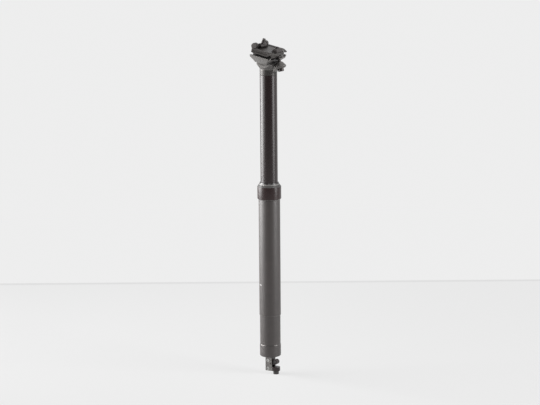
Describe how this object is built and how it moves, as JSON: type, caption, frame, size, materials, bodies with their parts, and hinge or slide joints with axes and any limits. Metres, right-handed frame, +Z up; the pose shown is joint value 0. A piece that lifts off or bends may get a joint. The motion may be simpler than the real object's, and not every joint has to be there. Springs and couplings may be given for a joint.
{
  "type": "dropper seatpost",
  "caption": "Telescoping bicycle seatpost with a lockable gas cartridge, a tilting rail clamp held by angled bolts and a cable release under its lower tube.",
  "frame": {"origin": "on the post axis at the underside of the collar, where the tube enters the frame", "axes": "+Z up along the post, +X forward towards the lowered ends of the rail grooves, +Y to the left"},
  "size_m": [0.0537, 0.0596, 0.5008],
  "materials": {
    "black_anodised": "fine matt black anodised",
    "hard_black": "smooth satin black hard anodised",
    "grey_alloy": "forged, matt dark grey anodised",
    "bare_alloy": "turned, uncoated",
    "plated_steel": "bright plated",
    "dark_steel": "blackened",
    "seal_rubber": "moulded",
    "bushing_polymer": "moulded",
    "key_brass": "machined"
  },
  "bodies": {
    "outer_post": {"lower_tube": "black_anodised", "seal_collar": "black_anodised", "wiper_seal": "seal_rubber", "collar_o_ring": "seal_rubber", "upper_bushing": "bushing_polymer", "bottom_cap": "black_anodised", "rod_nut": "plated_steel", "piston_rod": "plated_steel", "piston": "bare_alloy", "piston_seal": "seal_rubber", "actuator_bracket": "hard_black", "side_plate": "grey_alloy", "plate_screws": "plated_steel", "lever_pin": "dark_steel", "cable_stop": "grey_alloy"},
    "inner_post": {"upper_tube": "hard_black", "head": "grey_alloy", "lower_bushing": "bushing_polymer", "guide_keys": "key_brass", "top_out_ring": "seal_rubber", "cartridge_cylinder": "bare_alloy", "cartridge_retainer": "bare_alloy", "rod_gland": "bare_alloy", "rod_seal": "seal_rubber", "cartridge_plug": "bare_alloy"},
    "saddle_clamp": {"lower_cradle": "grey_alloy", "upper_clamp": "grey_alloy"},
    "front_nut": {"front_barrel_nut": "dark_steel"},
    "rear_nut": {"rear_barrel_nut": "dark_steel"},
    "front_bolt_set": {"front_bolt": "dark_steel", "front_washer": "dark_steel"},
    "rear_bolt_set": {"rear_bolt": "dark_steel", "rear_washer": "dark_steel"},
    "lever": {"release_lever": "hard_black"},
    "valve": {"release_pin": "plated_steel", "valve_poppet": "key_brass"},
    "gas_piston": {"floating_piston": "bare_alloy", "floating_seal": "seal_rubber"}
  },
  "joints": [
    {"name": "post_drop", "type": "slide", "parent": "outer_post", "child": "inner_post", "axis": [0, 0, -1], "range_m": [0, 0.15], "stiffness_N_per_m": 300, "springref_m": -0.4},
    {"name": "gas_piston_float", "type": "slide", "parent": "inner_post", "child": "gas_piston", "axis": [0, 0, 1], "range_m": [0, 0.0275]},
    {"name": "saddle_tilt", "type": "hinge", "parent": "inner_post", "child": "saddle_clamp", "pos_m": [0, 0, 0.2143], "axis": [0, 1, 0], "range_deg": [-8, 8]},
    {"name": "front_nut_turn", "type": "hinge", "parent": "saddle_clamp", "child": "front_nut", "pos_m": [0.01527, 0, 0.21948], "axis": [0, 1, 0], "range_deg": [-7.5, 7.5]},
    {"name": "rear_nut_turn", "type": "hinge", "parent": "saddle_clamp", "child": "rear_nut", "pos_m": [-0.0105, 0, 0.22581], "axis": [0, 1, 0], "range_deg": [-6, 6]},
    {"name": "front_bolt_swing", "type": "hinge", "parent": "inner_post", "child": "front_bolt_set", "pos_m": [0.0205, 0, 0.1949], "axis": [0, 1, 0], "range_deg": [-1.5, 1.5]},
    {"name": "rear_bolt_swing", "type": "hinge", "parent": "inner_post", "child": "rear_bolt_set", "pos_m": [-0.0185, 0, 0.2068], "axis": [0, 1, 0], "range_deg": [-3.5, 3.5]},
    {"name": "valve_lift", "type": "slide", "parent": "outer_post", "child": "valve", "axis": [0, 0, 1], "range_m": [0, 0.00112], "stiffness_N_per_m": 50, "springref_m": -0.004},
    {"name": "lever_press", "type": "hinge", "parent": "outer_post", "child": "lever", "pos_m": [0.0032, 0, -0.2478], "axis": [0, 1, 0], "range_deg": [0, 20]}
  ],
  "couplings": [
    {"joint": "gas_piston_float", "follows": "post_drop", "ratio": 0.18108},
    {"joint": "front_nut_turn", "follows": "saddle_tilt", "ratio": -0.9248},
    {"joint": "rear_nut_turn", "follows": "saddle_tilt", "ratio": -0.683},
    {"joint": "front_bolt_swing", "follows": "saddle_tilt", "ratio": 0.0752},
    {"joint": "rear_bolt_swing", "follows": "saddle_tilt", "ratio": 0.317},
    {"joint": "lever_press", "follows": "valve_lift", "rad_per_m": 312.5}
  ]
}
